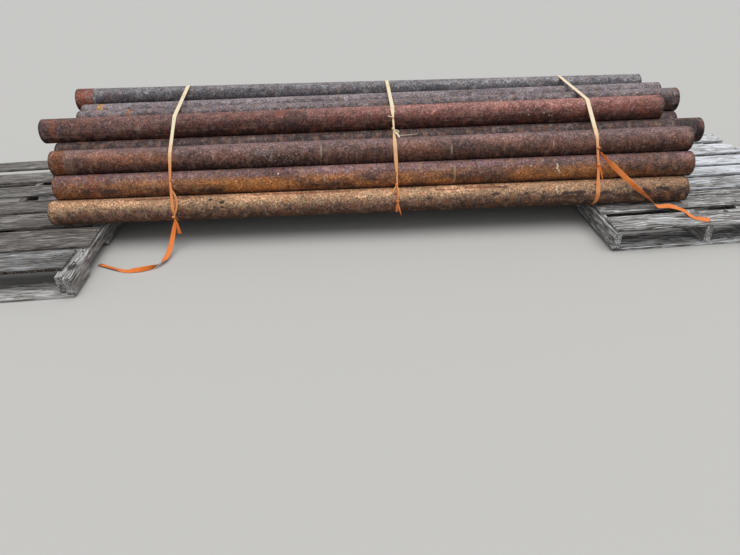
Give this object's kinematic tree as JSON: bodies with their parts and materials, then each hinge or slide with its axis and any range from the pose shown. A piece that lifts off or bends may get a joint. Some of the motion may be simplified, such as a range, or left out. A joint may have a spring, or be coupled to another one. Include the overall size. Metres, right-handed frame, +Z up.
{
  "type": "bundle of iron pipes",
  "caption": "Stack of rusted steel pipes tied with orange webbing straps, lying across two old wooden pallets.",
  "frame": {"origin": "on the ground, below the middle of the box round the pipes, straps and pallets", "axes": "+X along the pipes towards their right ends, +Y away from the camera towards the back row, +Z up"},
  "size_m": [5.06, 1.5858, 0.6408],
  "materials": {
    "tan_rusted_steel": "flaking tan and brown rust",
    "brown_rusted_steel": "matte brown rust with ochre streaks",
    "maroon_rusted_steel": "dark maroon rust",
    "mauve_rusted_steel": "mauve grey mill scale with rust spots",
    "slate_steel": "slate grey mill scale",
    "orange_webbing": "faded orange woven webbing",
    "pale_weathered_wood": "dry, bluish grey weathered boards",
    "dark_weathered_wood": "dark grey-brown weathered boards with bark edges"
  },
  "bodies": {
    "root": {"bottom_row_pipe_1": "tan_rusted_steel", "bottom_row_pipe_2": "brown_rusted_steel", "bottom_row_pipe_3": "brown_rusted_steel", "bottom_row_pipe_4": "brown_rusted_steel", "bottom_row_pipe_5": "brown_rusted_steel", "bottom_row_pipe_6": "brown_rusted_steel", "bottom_row_pipe_7": "brown_rusted_steel", "bottom_row_pipe_8": "brown_rusted_steel", "second_row_pipe_1": "brown_rusted_steel", "second_row_pipe_2": "brown_rusted_steel", "second_row_pipe_3": "brown_rusted_steel", "second_row_pipe_4": "brown_rusted_steel", "second_row_pipe_5": "brown_rusted_steel", "second_row_pipe_6": "brown_rusted_steel", "second_row_pipe_7": "brown_rusted_steel", "third_row_pipe_1": "brown_rusted_steel", "third_row_pipe_2": "brown_rusted_steel", "third_row_pipe_3": "brown_rusted_steel", "third_row_pipe_4": "brown_rusted_steel", "third_row_pipe_5": "brown_rusted_steel", "third_row_pipe_6": "brown_rusted_steel", "top_row_pipe_1": "maroon_rusted_steel", "top_row_pipe_2": "mauve_rusted_steel", "top_row_pipe_3": "mauve_rusted_steel", "back_top_pipe": "slate_steel", "loose_top_pipe": "slate_steel", "right_pallet_stringer_1": "pale_weathered_wood", "right_pallet_stringer_2": "pale_weathered_wood", "right_pallet_stringer_3": "pale_weathered_wood", "right_pallet_stringer_4": "pale_weathered_wood", "right_pallet_deck_board_1": "pale_weathered_wood", "right_pallet_deck_board_2": "pale_weathered_wood", "right_pallet_deck_board_3": "pale_weathered_wood", "right_pallet_deck_board_4": "pale_weathered_wood", "right_pallet_deck_board_5": "pale_weathered_wood", "right_pallet_deck_board_6": "pale_weathered_wood", "right_pallet_deck_board_7": "pale_weathered_wood", "right_pallet_bottom_board_1": "pale_weathered_wood", "right_pallet_bottom_board_2": "pale_weathered_wood", "right_pallet_bottom_board_3": "pale_weathered_wood", "left_pallet_stringer_1": "dark_weathered_wood", "left_pallet_stringer_2": "dark_weathered_wood", "left_pallet_stringer_3": "dark_weathered_wood", "left_pallet_companion": "dark_weathered_wood", "left_pallet_deck_board_1": "dark_weathered_wood", "left_pallet_deck_board_2": "dark_weathered_wood", "left_pallet_deck_board_3": "dark_weathered_wood", "left_pallet_deck_board_4": "dark_weathered_wood", "left_pallet_deck_board_5": "dark_weathered_wood", "left_pallet_deck_board_6": "dark_weathered_wood", "left_pallet_deck_board_7": "dark_weathered_wood", "left_pallet_bottom_board_1": "dark_weathered_wood", "left_pallet_bottom_board_2": "dark_weathered_wood", "left_pallet_bottom_board_3": "dark_weathered_wood", "left_strap": "orange_webbing", "middle_strap": "orange_webbing", "right_strap": "orange_webbing", "left_strap_tail": "orange_webbing", "right_strap_tail": "orange_webbing"}
  },
  "joints": []
}
